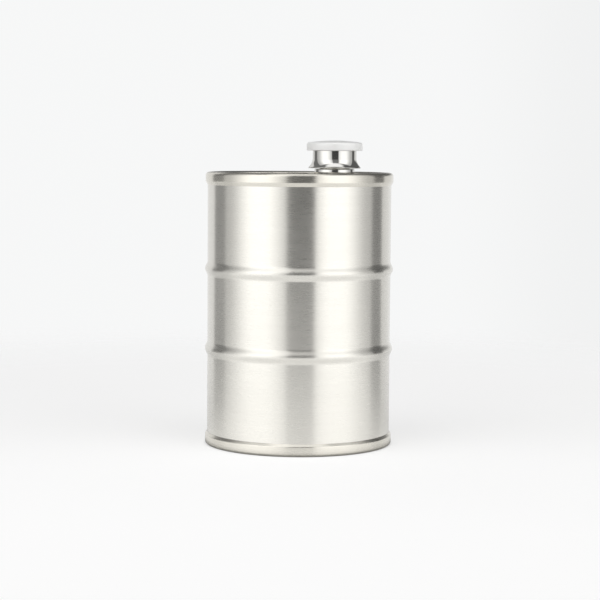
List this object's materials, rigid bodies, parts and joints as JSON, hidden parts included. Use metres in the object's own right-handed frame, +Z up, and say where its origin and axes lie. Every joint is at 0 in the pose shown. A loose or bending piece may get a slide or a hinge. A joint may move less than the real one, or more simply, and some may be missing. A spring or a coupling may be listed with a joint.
{
  "type": "barrel flask",
  "caption": "Drum-shaped steel drinks flask with rolled hoops, end chimes and a recessed deck whose offset threaded neck takes a flared screw cap.",
  "frame": {"origin": "middle of the foot, on the surface that the flask stands on", "axes": "+Z up along the barrel, +X from the barrel's axis towards the neck"},
  "size_m": [0.0904, 0.0904, 0.1458],
  "materials": {
    "satin_steel": "satin, brushed round the barrel",
    "bright_steel": "bright satin",
    "mirror_chrome": "mirror polish",
    "satin_crown": "pale, fine-blasted satin",
    "liner_plastic": "matte moulded",
    "seal_silicone": "matte"
  },
  "bodies": {
    "flask": {"barrel_shell": "satin_steel", "top_head": "satin_steel", "base_head": "satin_steel", "top_chime": "bright_steel", "bottom_chime": "bright_steel", "neck_tube": "bright_steel", "neck_collar": "mirror_chrome"},
    "seal": {"cap_seal": "seal_silicone"},
    "cap": {"cap_skirt": "mirror_chrome", "cap_crown": "satin_crown", "cap_liner": "liner_plastic"}
  },
  "joints": [
    {"name": "cap_rise", "type": "slide", "parent": "flask", "child": "seal", "axis": [0, 0, 1], "range_m": [0, 0.007]},
    {"name": "cap_turn", "type": "hinge", "parent": "seal", "child": "cap", "pos_m": [0.0167, 0, 0.1396], "axis": [0, 0, 1], "range_deg": [0, 1260]}
  ],
  "couplings": [
    {"joint": "cap_rise", "follows": "cap_turn", "m_per_rad": 0.00031831}
  ]
}
